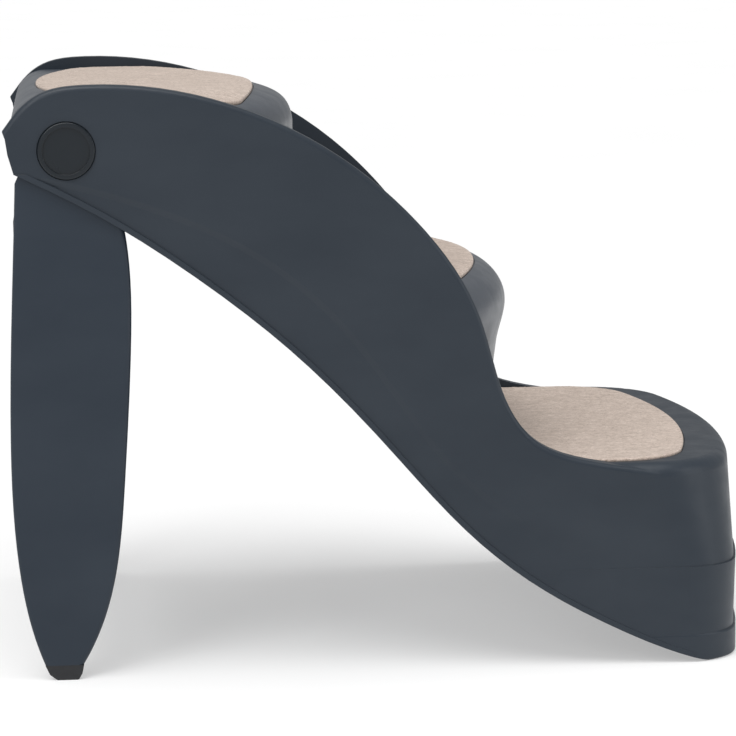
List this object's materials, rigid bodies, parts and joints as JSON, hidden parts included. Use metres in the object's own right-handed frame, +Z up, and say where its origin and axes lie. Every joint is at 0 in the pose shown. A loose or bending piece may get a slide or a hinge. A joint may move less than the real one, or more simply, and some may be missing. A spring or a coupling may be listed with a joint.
{
  "type": "step stool",
  "caption": "Folding step stool with bowed carpeted treads between curved side walls and a rear leg that swings in for storage.",
  "frame": {"origin": "centre of the stool's footprint, on the floor", "axes": "+X from the rear leg towards the lowest step, +Y across the stool to its left side, +Z up"},
  "size_m": [0.614, 0.411, 0.4791],
  "materials": {
    "shell_plastic": "satin, fine moulded grain",
    "step_plastic": "satin, fine moulded grain",
    "leg_plastic": "satin, fine moulded grain",
    "cap_plastic": "satin",
    "clip_plastic": "satin",
    "bearing_plastic": "natural nylon",
    "carpet": "short pile felt",
    "rubber": "matt",
    "steel": "zinc plated"
  },
  "bodies": {
    "steps": {"outer_shell": "shell_plastic", "middle_step": "step_plastic", "top_step": "step_plastic", "bottom_carpet": "carpet", "middle_carpet": "carpet", "top_carpet": "carpet", "middle_step_screws": "steel", "top_step_screws": "steel", "leg_stop_pads": "rubber", "base_pads": "rubber", "fold_clips": "clip_plastic", "fold_clip_screws": "steel", "hinge_bolt_left": "steel", "hinge_nut_left": "steel", "hinge_cap_left": "cap_plastic", "hinge_washers_left": "bearing_plastic", "hinge_bolt_right": "steel", "hinge_nut_right": "steel", "hinge_cap_right": "cap_plastic", "hinge_washers_right": "bearing_plastic"},
    "leg": {"leg_cross_panel": "leg_plastic", "leg_brace_tube": "steel", "leg_screws": "steel", "leg_blade_left": "leg_plastic", "leg_foot_left": "rubber", "hinge_bush_left": "bearing_plastic", "leg_blade_right": "leg_plastic", "leg_foot_right": "rubber", "hinge_bush_right": "bearing_plastic"}
  },
  "joints": [
    {"name": "leg_fold", "type": "hinge", "parent": "steps", "child": "leg", "pos_m": [-0.2544, 0, 0.4281], "axis": [0, -1, 0], "range_deg": [0, 55]}
  ]
}
